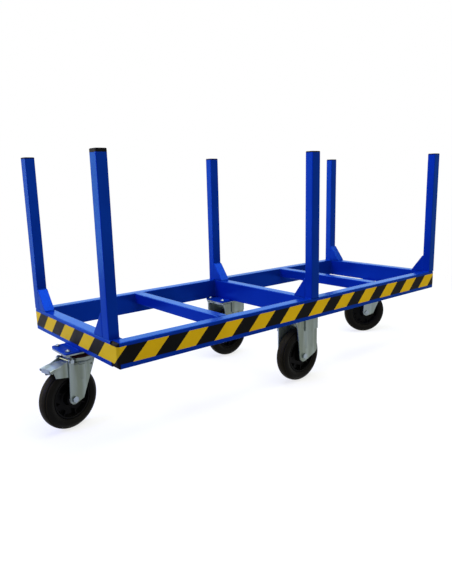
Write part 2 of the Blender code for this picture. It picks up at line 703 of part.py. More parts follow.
def swivel_leg_outline():
    """Side outline of the swivel fork: a steep front edge and a raked rear edge."""
    outline = [(LEG_REAR_TOP, CROWN_TOP), (-TRAIL - LEG_FRONT_TOP, CROWN_TOP)]
    outline += arc((-TRAIL, AXLE_HEIGHT), LEG_END_RADIUS, 180, 290, ARC_STEPS)
    outline += [(-TRAIL + LEG_KNEE_REACH, AXLE_HEIGHT - LEG_KNEE_DROP)]
    return outline


def swivel_fork(with_brake):
    """Swivel fork: bent sheet legs under a turned bowl, drawn about the swivel axis."""
    front = -TRAIL - LEG_END_RADIUS - BITE
    fork = bent_sheet(swivel_leg_outline(), CROWN_TOP, front, LEG_REAR_TOP + BITE)
    rib_top = CROWN_TOP - FORK_BEND
    for side in (-1.0, 1.0):
        join(fork, swage(LEG_SWAGE_CENTRE, CROWN_UNDER - LEG_SWAGE_DROP, rib_top, LEG_SWAGE_RADIUS,
                         LEG_SWAGE_RISE, side))
    clear_wheel_gap(fork, 0.0, rib_top + BITE / 2)
    notch = (front, -LEG_INNER, CROWN_TOP - FORK_BEND)
    cut(fork, box(notch, (-BOWL_RADIUS - BOWL_LIP, LEG_INNER, CROWN_TOP + BITE)))
    low = CROWN_UNDER - BOWL_LIP
    floor = CROWN_TOP + BOWL_LIP
    inside = BOWL_RADIUS - BOWL_WALL
    hole = clear_radius(KINGPIN_RADIUS, HEAD_SEGMENTS)
    bowl = [(BOWL_RADIUS, CROWN_TOP + BOWL_RISE), (BOWL_RADIUS, CROWN_TOP), (inside, low), (hole, low),
            (hole, floor), (inside, floor), (inside, CROWN_TOP + BOWL_RISE)]
    cut(fork, rod(hole + BITE, CROWN_UNDER - BITE, CROWN_TOP + BITE, segments=HEAD_SEGMENTS))
    join(fork, lathe(bowl, HEAD_SEGMENTS))
    small = rod(LEG_HOLE_RADIUS, -2 * LEG_OUTER, 2 * LEG_OUTER, segments=HOLE_SEGMENTS, axis="Y",
                place=(LEG_HOLE_PLACE, CROWN_UNDER - LEG_HOLE_DROP))
    cut(fork, axle_hole(-TRAIL), small)
    if with_brake:
        add_pedal_ears(fork)
    return fork


def pedal_pivot():
    """Side-view place of the pedal's pin."""
    return (-PEDAL_PIN_REACH, CROWN_TOP + PEDAL_PIN_RISE)


def add_pedal_ears(fork):
    """Ears on the fork's front edges that carry the pedal's pin."""
    x, z = pedal_pivot()
    foot = CROWN_TOP - FORK_BEND - BITE
    ear = arc((x, z), PEDAL_EAR_RADIUS, 0, 180, ARC_STEPS)
    ear += [(x - PEDAL_EAR_RADIUS, foot), (x + PEDAL_EAR_RADIUS, foot)]
    join(fork, *both_legs(ear, LEG_INNER + BITE / 4, EAR_OUTER))
    hole = clear_radius(PEDAL_PIN_RADIUS, SMALL_SEGMENTS)
    cut(fork, rod(hole, -2 * LEG_OUTER, 2 * LEG_OUTER, axis="Y", place=(x, z)))


def pedal_pin():
    """Pin of the brake pedal, with a hex head at each end, about its own axis."""
    outside = EAR_OUTER + FIT
    head = outside + PEDAL_PIN_HEAD_HEIGHT
    pin = rod(PEDAL_PIN_RADIUS, -head + BITE, head - BITE, axis="Y")
    return join(pin, rod(PEDAL_PIN_HEAD_RADIUS, outside, head, segments=6, axis="Y"),
                rod(PEDAL_PIN_HEAD_RADIUS, -head, -outside, segments=6, axis="Y"))


def tyre_top(x):
    """Height of the tyre relative to the pin, at a distance along from the pin."""
    pin_x, pin_z = pedal_pivot()
    along = pin_x + x + TRAIL
    return AXLE_HEIGHT + math.sqrt(WHEEL_RADIUS ** 2 - along ** 2) - pin_z


def brake_pedal():
    """Channel-shaped pedal: its sides hang between the tyre and the legs, with a shoe above the
    tread and a rolled tip; drawn about its pin."""
    line = list(PEDAL_LINE)
    under = [(x, z - PEDAL_SHEET) for x, z in reversed(line)]
    outside = LEG_INNER - 2 * FIT
    inside = outside - PEDAL_SHEET
    pedal = prism(line + under, -outside + FIT, outside - FIT, SIDE_VIEW)
    root, hump, step, tip = line
    side = arc((0.0, 0.0), PEDAL_LUG_RADIUS, -60, 75, ARC_STEPS)
    side += [(x, z + FIT) for x, z in (hump, step, tip)] + [PEDAL_SKIRT_TIP, PEDAL_SKIRT_BACK]
    join(pedal, *both_legs(side, inside, outside))
    roll = (tip[0], tip[1] - PEDAL_ROLL_RADIUS + BITE / 2)
    width = outside + FIT
    join(pedal, rod(PEDAL_ROLL_RADIUS, -width, width, axis="Y", place=roll))
    shoe_low = tyre_top(-BRAKE_SHOE_START) + BRAKE_GAP
    shoe_end = -BRAKE_SHOE_START - BRAKE_SHOE_LENGTH
    share = (root[0] + BRAKE_SHOE_START + BRAKE_SHOE_LENGTH / 2) / (root[0] - hump[0])
    shoe_top = root[1] + share * (hump[1] - root[1]) - PEDAL_SHEET / 2
    half = BRAKE_SHOE_WIDTH / 2
    join(pedal, box((shoe_end, -half, shoe_low), (-BRAKE_SHOE_START, half, shoe_top)))
    hole = clear_radius(PEDAL_PIN_RADIUS, SMALL_SEGMENTS)
    across = 2 * LEG_OUTER
    return cut(pedal, rod(hole, -across, across, axis="Y"),
               rod(PEDAL_ROLL_BORE, -across, across, segments=HOLE_SEGMENTS, axis="Y", place=roll))


def swivel_top_plate():
    """Bolted top plate with its upper race and king pin, as one forging."""
    plate = caster_plate(TOP_PLATE_WIDTH, TOP_PLATE_CORNER, TOP_PLATE_UNDER, TOP_PLATE_TOP)
    race_under = CROWN_TOP + BOWL_LIP + FIT
    nut_top = CROWN_UNDER - BOWL_LIP - FIT
    nut_under = nut_top - KINGPIN_NUT_HEIGHT
    race = rod(RACE_RADIUS, race_under, TOP_PLATE_UNDER + BITE, segments=HEAD_SEGMENTS)
    pin = rod(KINGPIN_RADIUS, nut_under + BITE, race_under + BITE, segments=HEAD_SEGMENTS)
    nut = rod(KINGPIN_NUT_RADIUS, nut_under, nut_top, segments=6)
    return join(plate, race, pin, nut)


def swivel_seal():
    """Dust seal ring on the bowl's rim, round the upper race."""
    low = CROWN_TOP + BOWL_RISE + FIT
    high = low + SEAL_HEIGHT
    inner = clear_radius(RACE_RADIUS, HEAD_SEGMENTS)
    middle = (low + high) / 2
    ring = [(BOWL_RADIUS - BITE, high), (BOWL_RADIUS + BITE, middle), (BOWL_RADIUS - BITE, low),
            (inner, low), (inner, high)]
    return lathe(ring, HEAD_SEGMENTS)


def build_fixed_casters(carriers):
    """Two fixed casters at mid-length."""
    for where in ("near", "far"):
        put("fixed_fork", fixed_fork, "fixed_fork_" + where, ZINC, carriers[where])
        hang_wheel(where, carriers[where], 0.0)


def build_swivel_casters(carriers):
    """Two swivel casters, the front one with a brake pedal."""
    for where, turn in (("front", FRONT_SWIVEL_TURN), ("rear", REAR_SWIVEL_TURN)):
        head = add_empty("swivel_axis_" + where, (0.0, 0.0, 0.0), turn, carriers[where])
        braked = where == "front"
        put("swivel_plate", swivel_top_plate, "swivel_plate_" + where, ZINC, carriers[where])
        put("swivel_seal", swivel_seal, "swivel_seal_" + where, SEAL_RED, head)
        finish(swivel_fork(braked), "swivel_fork_" + where, ZINC, head)
        hang_wheel(where, head, -TRAIL)
        if braked:
            x, z = pedal_pivot()
            pivot = add_empty("pedal_axis_" + where, (x, 0.0, z), parent=head)
            finish(pedal_pin(), "pedal_pin_" + where, ZINC, pivot)
            finish(brake_pedal(), "brake_pedal_" + where, ZINC, pivot)


def world_box(objects):
    """Lowest and highest corners of some objects in the world."""
    points = [obj.matrix_world @ v.co for obj in objects for v in obj.data.vertices]
    low = Vector([min(p[i] for p in points) for i in range(3)])
    high = Vector([max(p[i] for p in points) for i in range(3)])
    return low, high


def main():
    """Build the trolley and put its origin under the middle of its box, on the floor."""
    root = add_empty("trolley_root", (0.0, 0.0, 0.0))
    places = {"front": (-END_RAIL_X, 0.0), "rear": (END_RAIL_X, 0.0),
              "near": (0.0, -FIXED_Y), "far": (0.0, FIXED_Y)}
    carriers = {}
    for where, (x, y) in places.items():
        carriers[where] = add_empty("caster_" + where, (x, y, 0.0), parent=root)
    build_frame(root)
    build_uprights(root)
    build_mounting_plates(carriers)
    build_fixed_casters(carriers)
    build_swivel_casters(carriers)
    bpy.context.view_layer.update()
    low, high = world_box([obj for obj in TROLLEY.objects if obj.type == "MESH"])
    root.location = (-(low.x + high.x) / 2, -(low.y + high.y) / 2, -low.z)
    bpy.context.view_layer.update()
    print("size", [round(v, 4) for v in high - low], "shift", [round(v, 5) for v in root.location])


main()
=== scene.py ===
# %% [markdown]
# A long trolley for bars and profiles: a blue tube frame with six uprights, hazard tape along the near side
# and the front end, and four casters. The solid model already has every piece in its place, so this lesson
# gives each one its finish, rounds what the solids leave faceted, and adds what is too fine for them: tape,
# bolts, weld seams, smooth tyres, ribbed rims and the pressed edges of the brake pedal.

# %% Load the solids
import json
import math

import bmesh
import bpy
from mathutils import Matrix, Vector


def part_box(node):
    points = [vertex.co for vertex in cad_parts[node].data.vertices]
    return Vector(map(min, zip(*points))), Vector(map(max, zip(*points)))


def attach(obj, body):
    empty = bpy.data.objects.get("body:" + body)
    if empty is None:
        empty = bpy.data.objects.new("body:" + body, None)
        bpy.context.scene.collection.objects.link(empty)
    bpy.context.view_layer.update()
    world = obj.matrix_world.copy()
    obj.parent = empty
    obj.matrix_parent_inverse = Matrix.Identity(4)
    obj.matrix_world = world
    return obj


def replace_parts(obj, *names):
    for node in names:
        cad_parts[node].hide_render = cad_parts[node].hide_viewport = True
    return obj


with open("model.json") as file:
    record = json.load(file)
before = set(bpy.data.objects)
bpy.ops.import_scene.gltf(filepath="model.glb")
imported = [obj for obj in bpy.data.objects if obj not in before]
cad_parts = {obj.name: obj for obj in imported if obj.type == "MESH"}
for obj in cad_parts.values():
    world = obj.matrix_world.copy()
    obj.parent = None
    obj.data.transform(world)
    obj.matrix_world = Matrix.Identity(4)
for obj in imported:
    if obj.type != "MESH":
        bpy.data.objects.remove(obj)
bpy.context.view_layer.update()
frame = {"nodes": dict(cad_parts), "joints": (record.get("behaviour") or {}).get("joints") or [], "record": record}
UP = Vector((0.0, 0.0, 1.0))
scene = bpy.context.scene
scene.view_settings.view_transform = "Standard"
BODY_OF = {node: body for body, nodes in frame["record"]["behaviour"]["bodies"].items() for node in nodes}
SLOT_OF = {row["node"]: row["material_slot"] for row in frame["record"]["subparts"]}
JOINT = {joint["name"]: joint for joint in frame["joints"]}

# %% [markdown]
# The camera comes first, because every comparison with the photograph depends on it. Its place, aim and focal
# length were fitted to the corners of the frame, so they are written here as plain numbers. The camera's
# axes are worked out from yaw, pitch and roll: a small roll can't be given by a tracking constraint.

# %% Camera at the photograph's angle
FRAME_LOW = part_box("end_rail_front")[0]
FRAME_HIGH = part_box("end_rail_rear")[1]
MIDDLE_X = (FRAME_LOW.x + FRAME_HIGH.x) / 2
IMAGE_HEIGHT = 584
FOCAL_PIXELS = 540.95
CAMERA_PLACE = Vector((MIDDLE_X - 1.4549, -1.5741, 0.7555))
YAW, PITCH, ROLL = math.radians(39.193), math.radians(-11.657), math.radians(-1.466)


def camera_axes(yaw, pitch, roll):
    """Right, up and backward directions of a camera that looks along a heading."""
    ahead = Vector((math.cos(pitch) * math.sin(yaw), math.cos(pitch) * math.cos(yaw), math.sin(pitch)))
    level = Vector((math.cos(yaw), -math.sin(yaw), 0.0))
    over = level.cross(ahead)
    right = math.cos(roll) * level + math.sin(roll) * over
    up = math.cos(roll) * over - math.sin(roll) * level
    return right, up, -ahead


lens = bpy.data.cameras.new("trolley_camera")
lens.sensor_width = 36.0
lens.lens = FOCAL_PIXELS * lens.sensor_width / IMAGE_HEIGHT
camera = bpy.data.objects.new("trolley_camera", lens)
aim = Matrix(camera_axes(YAW, PITCH, ROLL)).transposed().to_4x4()
camera.matrix_world = Matrix.Translation(CAMERA_PLACE) @ aim
scene.collection.objects.link(camera)
scene.camera = camera
print("lens", round(lens.lens, 2), "mm")

# %% [markdown]
# A finish is a small node tree. Real paint, zinc and rubber are never one flat value, so a few short helpers
# are shared by all of them: one makes a noise, one spreads it between two numbers and one mixes two colours by
# it. The same noise, made finer, becomes relief. All of them read Object coordinates in metres, so a grain
# keeps its real size. A Bevel node softens the sharp edges of the solids a little.

# %% Helpers for finishes
NOISE_LOW, NOISE_HIGH = 0.3, 0.7
TONE_LOW, TONE_HIGH = 0.35, 0.65
EDGE_RADIUS = 0.0006


def link_or_set(tree, socket, value):
    """Link a socket to another one, or give it a plain value."""
    if isinstance(value, bpy.types.NodeSocket):
        tree.links.new(value, socket)
    else:
        socket.default_value = value


def add_node(tree, kind, **inputs):
    """Add a node and fill its inputs by name, with _ for a space."""
    made = tree.nodes.new(kind)
    for label, value in inputs.items():
        link_or_set(tree, made.inputs[label.replace("_", " ")], value)
    return made


def grain(tree, scale, detail=2.0, stretch=(1.0, 1.0, 1.0)):
    """A noise in Object coordinates; stretch squeezes it along an axis."""
    place = add_node(tree, "ShaderNodeTexCoord").outputs["Object"]
    place = add_node(tree, "ShaderNodeMapping", Vector=place, Scale=stretch).outputs[0]
    return add_node(tree, "ShaderNodeTexNoise", Vector=place, Scale=scale, Detail=detail).outputs["Fac"]


def spread(tree, fac, low, high):
    """Carry the middle of a noise to a range of numbers."""
    return add_node(tree, "ShaderNodeMapRange", Value=fac, From_Min=NOISE_LOW, From_Max=NOISE_HIGH,
                    To_Min=low, To_Max=high).outputs[0]


def two_tone(tree, fac, first, second):
    """Mix two colours by a noise."""
    ramp = tree.nodes.new("ShaderNodeValToRGB")
    stops = ramp.color_ramp.elements
    stops[0].position, stops[0].color = TONE_LOW, (*first, 1.0)
    stops[1].position, stops[1].color = TONE_HIGH, (*second, 1.0)
    tree.links.new(fac, ramp.inputs[0])
    return ramp.outputs[0]


def finish(name, tones, tone_grain, roughness, relief, edge=EDGE_RADIUS, **plain):
    """A Principled finish: two tones over a noise, a spread of roughness and a fine relief.
    tone_grain is (scale, stretch), relief is (scale, depth in metres); plain fills other sockets."""
    material = bpy.data.materials.new(name)
    material.use_nodes = True
    tree = material.node_tree
    shader = tree.nodes["Principled BSDF"]
    scale, stretch = tone_grain
    tone = two_tone(tree, grain(tree, scale, detail=3.0, stretch=stretch), *tones)
    tree.links.new(tone, shader.inputs["Base Color"])
    rough = grain(tree, scale * 3.0, detail=4.0)
    tree.links.new(spread(tree, rough, *roughness), shader.inputs["Roughness"])
    fine, depth = grain(tree, relief[0]), relief[1]
    soft_edge = add_node(tree, "ShaderNodeBevel", Radius=edge).outputs[0]
    bump = add_node(tree, "ShaderNodeBump", Height=fine, Distance=depth, Strength=0.5, Normal=soft_edge)
    tree.links.new(bump.outputs[0], shader.inputs["Normal"])
    for label, value in plain.items():
        shader.inputs[label.replace("_", " ")].default_value = value
    return material


print("finish helpers are ready")

# %% [markdown]
# The finishes. The blue is a gloss powder coat: nearly even in tone, with the faint waves of orange peel, and
# partly metallic, so that its reflections stay blue instead of turning white. The casters are bright zinc
# plate, whose tint drifts between green-grey and blue-grey along the sheet, and their bolts, nuts and pins are
# a brighter metal. Tyres are dull rubber with a lighter tread, partly scuffed and partly a painted highlight,
# rims and plugs moulded plastic, the rims the glossier of the two, and the tape is vinyl film.

# %% Finishes
EVEN = (1.0, 1.0, 1.0)
ALONG_SHEET = (1.0, 1.0, 0.12)
TURNED_LINES = (1.0, 1.0, 8.0)
FINISH = {
    "blue_paint": finish("gloss_blue_paint", ((0.0012, 0.022, 0.248), (0.0016, 0.026, 0.276)), (7.0, EVEN),
                         (0.20, 0.27), (420.0, 0.00008), edge=0.0010, Metallic=0.30,
                         Specular_IOR_Level=0.016, Specular_Tint=(0.50, 0.95, 1.0, 1.0)),
    "zinc_plated_steel": finish("bright_zinc_plate", ((0.19, 0.225, 0.180), (0.31, 0.37, 0.36)),
                                (34.0, ALONG_SHEET), (0.16, 0.26), (900.0, 0.00004), Metallic=0.45,
                                Specular_IOR_Level=0.1),
    "black_plastic": finish("moulded_black_plastic", ((0.004, 0.004, 0.005), (0.006, 0.006, 0.007)),
                            (30.0, EVEN), (0.38, 0.50), (2600.0, 0.00003), Specular_IOR_Level=0.03),
    "black_rubber": finish("dull_black_rubber", ((0.0034, 0.0033, 0.0030), (0.0050, 0.0049, 0.0045)),
                           (45.0, EVEN), (0.34, 0.44), (1500.0, 0.00004), Specular_IOR_Level=0.05,
                           Specular_Tint=(1.0, 0.95, 0.8, 1.0)),
    "dark_red_seal": finish("dark_red_seal", ((0.018, 0.0015, 0.005), (0.030, 0.002, 0.007)), (60.0, EVEN),
                            (0.40, 0.50), (1200.0, 0.00003), Specular_IOR_Level=0.06),
    "bearing_steel": finish("turned_steel", ((0.50, 0.50, 0.50), (0.60, 0.60, 0.60)), (80.0, TURNED_LINES),
                            (0.20, 0.30), (2000.0, 0.00001), Metallic=1.0),
}
HARDWARE = finish("bright_zinc_hardware", ((0.18, 0.215, 0.24), (0.28, 0.325, 0.36)), (60.0, EVEN),
                  (0.10, 0.16), (1800.0, 0.00002), Metallic=1.0)
RIM = finish("glossy_black_rim", ((0.003, 0.003, 0.0033), (0.0045, 0.0045, 0.0048)), (30.0, EVEN),
             (0.20, 0.28), (2600.0, 0.00002), Specular_IOR_Level=0.035)
# the tread's lighter tone: scuffing, and in part a painted highlight
TREAD = finish("scuffed_rubber_tread", ((0.0125, 0.0102, 0.0044), (0.0185, 0.0152, 0.0066)), (70.0, EVEN),
               (0.42, 0.54), (900.0, 0.00006), Specular_IOR_Level=0.03)
TAPE_YELLOW = finish("tape_yellow", ((0.78, 0.490, 0.008), (0.83, 0.525, 0.010)), (12.0, EVEN),
                     (0.34, 0.44), (700.0, 0.00002), edge=0.0002, Specular_IOR_Level=0.03)
TAPE_BLACK = finish("tape_black", ((0.0035, 0.0035, 0.0035), (0.0055, 0.0055, 0.0055)), (12.0, EVEN),
                    (0.34, 0.44), (700.0, 0.00002), edge=0.0002, Specular_IOR_Level=0.03)
print("finishes", len(bpy.data.materials))

# %% [markdown]
# Every piece is made the same way: its mesh is finished first, then it becomes an object at the origin that
# rides on a body, so that it moves with its joint. A modifier is carried out at once, on a workpiece that is
# taken away again, because a finished piece is a plain mesh.

# %% Helpers for pieces
def new_piece(name, mesh, body):
    """Put a finished mesh into the scene and let it ride on a body."""
    piece = bpy.data.objects.new(name, mesh)
    scene.collection.objects.link(piece)
    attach(piece, body)
    return piece


def carried_out(name, mesh, kind, prepare):
    """A plain mesh with one modifier carried out on it; prepare sets the modifier."""
    workpiece = bpy.data.objects.new(name, mesh)
    scene.collection.objects.link(workpiece)
    prepare(workpiece.modifiers.new(name, kind))
    graph = bpy.context.evaluated_depsgraph_get()
    made = bpy.data.meshes.new_from_object(workpiece.evaluated_get(graph))
    bpy.data.objects.remove(workpiece)
    return made


def applied(mesh, kind, **settings):
    """A plain mesh with one modifier carried out on it, set by plain settings."""
    def prepare(modifier):
        for label, value in settings.items():
            setattr(modifier, label, value)
    return carried_out("workpiece", mesh, kind, prepare)


print("piece helpers are ready")

# %% [markdown]
# The brake pedal's solid is a little lower at the top and longer at the tip than the real pedal. A whole new
# mesh isn't needed for that: each point of the copy is lifted by an amount that depends on how far it lies
# ahead of the pin and above the lower edge. What has to fit stays: the eyes round the pin and the brake shoe.

# %% The pedal's raised top
PIN = Vector(JOINT["brake_pedal_press"]["pos_m"])
PIN_AXIS = Vector(JOINT["brake_pedal_press"]["axis"])
AHEAD = PIN_AXIS.cross(UP)
EYE_RADIUS = 0.0085
SHOE_HALF_WIDTH, SHOE_TOP, SHOE_REACH = 0.024, -0.0165, 0.060
LOWER_EDGE, EDGE_BLEND = -0.040, 0.015
HUMP_REACH, TIP_START, TIP_REACH = 0.030, 0.036, 0.034
TOP_LIFT, HUMP_LIFT, TIP_BACK = 0.0036, 0.0016, 0.0050


def share(value):
    """A number held between 0 and 1."""
    return min(max(value, 0.0), 1.0)


def raise_top(place):
    """Carry a point of the pedal's top up, and of its tip back; eyes, shoe and lower edge stay."""
    offset = place - PIN
    ahead, across, rise = offset.dot(AHEAD), offset.dot(PIN_AXIS), offset.z
    in_shoe = abs(across) < SHOE_HALF_WIDTH and rise < SHOE_TOP and ahead < SHOE_REACH
    if math.hypot(ahead, rise) < EYE_RADIUS or in_shoe:
        return place
    lift = TOP_LIFT + HUMP_LIFT * share(ahead / HUMP_REACH)
    back = TIP_BACK * share((ahead - TIP_START) / TIP_REACH)
    return place + share((rise - LOWER_EDGE) / EDGE_BLEND) * (UP * lift - AHEAD * back)


print("pedal's pin at", [round(value, 4) for value in PIN])

# %% [markdown]
# Pieces whose solid already has the right shape only need smooth curves. A solid's mesh is loose triangles, so
# a copy is merged, its flat areas are freed of inner edges, and every edge flatter than a set angle is shaded
# smooth. Weighted normals then keep the large flats flat. The gussets are folded sheet, so their folds get a
# real radius. The copy stands for the node.

# %% Dress the solids
SMOOTH_ANGLE = math.radians(40.0)
FLAT_ANGLE = math.radians(0.3)
MERGE_DISTANCE = 2e-6
FOLD_RADIUS = 0.0020
REMADE = ("tyre_", "rim_")
BRIGHT = ("axle_", "pedal_pin")


def smooth_copy(node):
    """A merged copy of a node's mesh, shaded smooth over its curves and flat on its flats."""
    mesh = frame["nodes"][node].data.copy()
    bm = bmesh.new()
    bm.from_mesh(mesh)
    bmesh.ops.remove_doubles(bm, verts=bm.verts, dist=MERGE_DISTANCE)
    bmesh.ops.dissolve_limit(bm, angle_limit=FLAT_ANGLE, verts=bm.verts, edges=bm.edges)
    if node == "brake_pedal_front":
        for vert in bm.verts:
            vert.co = raise_top(vert.co)
    bm.to_mesh(mesh)
    bm.free()
    if "custom_normal" in mesh.attributes:
        mesh.attributes.remove(mesh.attributes["custom_normal"])
    mesh.materials.clear()
    mesh.materials.append(HARDWARE if node.startswith(BRIGHT) else FINISH[SLOT_OF[node]])
    if node.startswith("gusset_"):
        mesh = applied(mesh, "BEVEL", width=FOLD_RADIUS, segments=3, limit_method="ANGLE",
                       angle_limit=SMOOTH_ANGLE)
    mesh.shade_smooth()
    mesh.set_sharp_from_angle(angle=SMOOTH_ANGLE)
    return applied(mesh, "WEIGHTED_NORMAL", weight=90, keep_sharp=True)


dressed = [node for node in sorted(frame["nodes"]) if not node.startswith(REMADE)]
for node in dressed:
    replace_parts(new_piece(node + "_dressed", smooth_copy(node), BODY_OF[node]), node)
print("dressed", len(dressed))

# %% [markdown]
# Each wheel has a solid rubber tyre on a ribbed rim. Both are turned shapes, so a section is written once as
# radius and half width, and spun about the axle. The tyre is round-shouldered, with a narrow groove where the
# tread ends and a thin raised line on the wall. The rim is a hub, a web and a flange with rounded edges.

# %% Turned sections
TURN_STEPS = 96
LONGEST_REACH = 0.45
HALF_GAP = 0.0005
TYRE_RADIUS, TYRE_ROUND = 0.1, 0.0006
TYRE_WALL = [(0.0664, 0.0175), (0.0668, 0.0212), (0.0700, 0.0222), (0.0712, 0.0232), (0.0775, 0.0250)]
TREAD_CENTRE, TREAD_ROUND = (0.078, 0.003), 0.022
GROOVE_DEGREES, GROOVE_DEPTH = (36, 40), 0.0022
LINE_DEGREES, LINE_LIFT = 72, 0.0004
RIM_ROUND = 0.0018
RIM_CORNERS = [(0.0172, HALF_GAP), (0.0172, 0.0265), (0.0225, 0.0265), (0.0245, 0.0060), (0.0300, 0.0046),
               (0.0530, 0.0046), (0.0588, 0.0180), (0.0598, 0.0212), (0.0640, 0.0212), (0.0656, 0.0195),
               (0.0658, HALF_GAP)]


def fillet(points, radius, steps=3):
    """Round the inner corners of an open (radius, width) line."""
    rounded = [Vector(points[0])]
    for before, corner, after in zip(points, points[1:], points[2:]):
        corner = Vector(corner)
        first, second = Vector(before) - corner, Vector(after) - corner
        reach = min(radius, first.length * LONGEST_REACH, second.length * LONGEST_REACH)
        a, b = corner + first.normalized() * reach, corner + second.normalized() * reach
        for i in range(steps + 1):
            t = i / steps
            rounded.append((1 - t) ** 2 * a + 2 * t * (1 - t) * corner + t ** 2 * b)
    return rounded + [Vector(points[-1])]


def made_mesh(bm, name, *finishes):
    """A plain mesh from a finished bmesh."""
    mesh = bpy.data.meshes.new(name)
    bm.to_mesh(mesh)
    bm.free()
    for item in finishes:
        mesh.materials.append(item)
    return mesh


def turned(name, half_section, axle, along):
    """Spin a half section and its mirror image about an axle, as one closed ring."""
    section = half_section + [Vector((p.x, -p.y)) for p in reversed(half_section)]
    bm = bmesh.new()
    ring = [bm.verts.new((p.x, 0.0, p.y)) for p in section]
    edges = [bm.edges.new((a, b)) for a, b in zip(ring, ring[1:] + ring[:1])]
    bmesh.ops.spin(bm, geom=ring + edges, axis=UP, cent=(0, 0, 0), steps=TURN_STEPS, angle=2 * math.pi,
                   use_duplicate=False)
    bmesh.ops.remove_doubles(bm, verts=bm.verts, dist=1e-5)
    bmesh.ops.recalc_face_normals(bm, faces=bm.faces)
    bm.transform(Matrix.Translation(axle) @ along)
    return made_mesh(bm, name)


def tyre_section():
    """From the bead at the rim, up the wall, over the shoulder to the middle of the tread."""
    shoulder = []
    for degrees in range(84, -1, -4):
        reach = TREAD_ROUND
        if GROOVE_DEGREES[0] <= degrees <= GROOVE_DEGREES[1]:
            reach -= GROOVE_DEPTH
        if degrees == LINE_DEGREES:
            reach += LINE_LIFT
        angle = math.radians(degrees)
        shoulder.append((TREAD_CENTRE[0] + reach * math.cos(angle),
                         TREAD_CENTRE[1] + reach * math.sin(angle)))
    return fillet(TYRE_WALL + shoulder + [(TYRE_RADIUS, HALF_GAP)], TYRE_ROUND, 2)


def rim_section():
    """From the bore, over the hub's face, down to the web and out to the flange and the tyre's seat."""
    return fillet(RIM_CORNERS, RIM_ROUND)


SPIN = {joint["child"]: joint for name, joint in JOINT.items() if name.endswith("_spin")}
print("wheels", sorted(SPIN))

# %% [markdown]
# Ribs, bolts and weld ripples repeat many times, which is what Geometry Nodes are for. Each tree has its sizes
# as named inputs, and they are set on the modifier by the socket's identifier, because two inputs may share a
# name. The result is realised and made a plain mesh, because an exported model keeps no instances.

# %% Helpers for trees
def new_tree(name, **sizes):
    """An empty Geometry Nodes tree with named number inputs; returns it with its two ends."""
    tree = bpy.data.node_groups.new(name, "GeometryNodeTree")
    tree.interface.new_socket("Geometry", in_out="INPUT", socket_type="NodeSocketGeometry")
    for label, value in sizes.items():
        kind = "NodeSocketInt" if isinstance(value, int) else "NodeSocketFloat"
        socket = tree.interface.new_socket(label.replace("_", " "), in_out="INPUT", socket_type=kind)
        socket.default_value = value
    tree.interface.new_socket("Geometry", in_out="OUTPUT", socket_type="NodeSocketGeometry")
    return tree, tree.nodes.new("NodeGroupInput").outputs, tree.nodes.new("NodeGroupOutput").inputs


def maths(tree, operation, first, second):
    """One step of arithmetic between two sockets or numbers."""
    made = add_node(tree, "ShaderNodeMath", Value=first)
    made.operation = operation
    link_or_set(tree, made.inputs[1], second)
    return made.outputs[0]


def vector(tree, x=0.0, y=0.0, z=0.0):
    """Three numbers as one vector socket."""
    return add_node(tree, "ShaderNodeCombineXYZ", X=x, Y=y, Z=z).outputs[0]


def close_tree(tree, end, instances, material):
    """End a tree in plain geometry with one finish."""
    real = add_node(tree, "GeometryNodeRealizeInstances", Geometry=instances).outputs[0]
    done = add_node(tree, "GeometryNodeSetMaterial", Geometry=real, Material=material).outputs[0]
    tree.links.new(done, end["Geometry"])


def grown(name, tree, carrier, **sizes):
    """Run a tree on a carrier mesh and return the result as a plain mesh."""
    sockets = {item.name: item.identifier for item in tree.interface.items_tree if item.in_out == "INPUT"}

    def prepare(modifier):
        modifier.node_group = tree
        for label, value in sizes.items():
            modifier[sockets[label.replace("_", " ")]] = value

    mesh = carried_out(name, carrier, "NODES", prepare)
    mesh.name = name
    return mesh


print("tree helpers are ready")

# %% [markdown]
# Short ribs stiffen the rim where its web meets the flange. A ring of points round the hub carries them: each
# point gets one rib, and the number of the point turns its rib outwards. A rib's start and end are measured
# from the ring, so its outer end is sunk in the tyre, where it doesn't show.

# %% A tree for the ribs
RIB_SIZES = {"Count": 8, "Ring": 0.02, "Start": 0.022, "End": 0.0600, "Thickness": 0.0034, "Height": 0.030}


def rib_tree():
    """Radial ribs on both sides of the web, each a slim block beyond a ring of points."""
    tree, sizes, end = new_tree("rim_ribs", **RIB_SIZES)
    length = maths(tree, "SUBTRACT", sizes["End"], sizes["Start"])
    size = vector(tree, length, sizes["Thickness"], sizes["Height"])
    rib = add_node(tree, "GeometryNodeMeshCube", Size=size, Vertices_X=4, Vertices_Y=2, Vertices_Z=3)
    middle = maths(tree, "MULTIPLY", maths(tree, "ADD", sizes["Start"], sizes["End"]), 0.5)
    moved = add_node(tree, "GeometryNodeTransform", Geometry=rib.outputs["Mesh"],
                     Translation=vector(tree, middle))
    circle = add_node(tree, "GeometryNodeMeshCircle", Vertices=sizes["Count"], Radius=sizes["Ring"])
    step = maths(tree, "DIVIDE", math.tau, sizes["Count"])
    angle = maths(tree, "MULTIPLY", add_node(tree, "GeometryNodeInputIndex").outputs[0], step)
    ribs = add_node(tree, "GeometryNodeInstanceOnPoints", Points=circle.outputs["Mesh"],
                    Instance=moved.outputs[0], Rotation=vector(tree, z=angle))
    close_tree(tree, end, ribs.outputs[0], RIM)
    return tree


RIBS = rib_tree()
print("ribs tree", len(RIBS.nodes), "nodes")

# %% [markdown]
# A wheel is put together from its three shapes. The rim and its ribs become one piece, since they are one
# moulding, and each piece stands for its own node. The tread and the shoulder beside it get a second, lighter
# finish, partly scuffing by use and partly a painted highlight, while the groove and the wall stay black.

# %% Wheels
TURNED_ANGLE = math.radians(35.0)
SCUFF_AND_HIGHLIGHT_REACH, SCUFF_AND_HIGHLIGHT_SLOPE = 0.0212, 1.3


def joined(name, meshes):
    """Several meshes as one."""
    bm = bmesh.new()
    for mesh in meshes:
        bm.from_mesh(mesh)
    return made_mesh(bm, name)


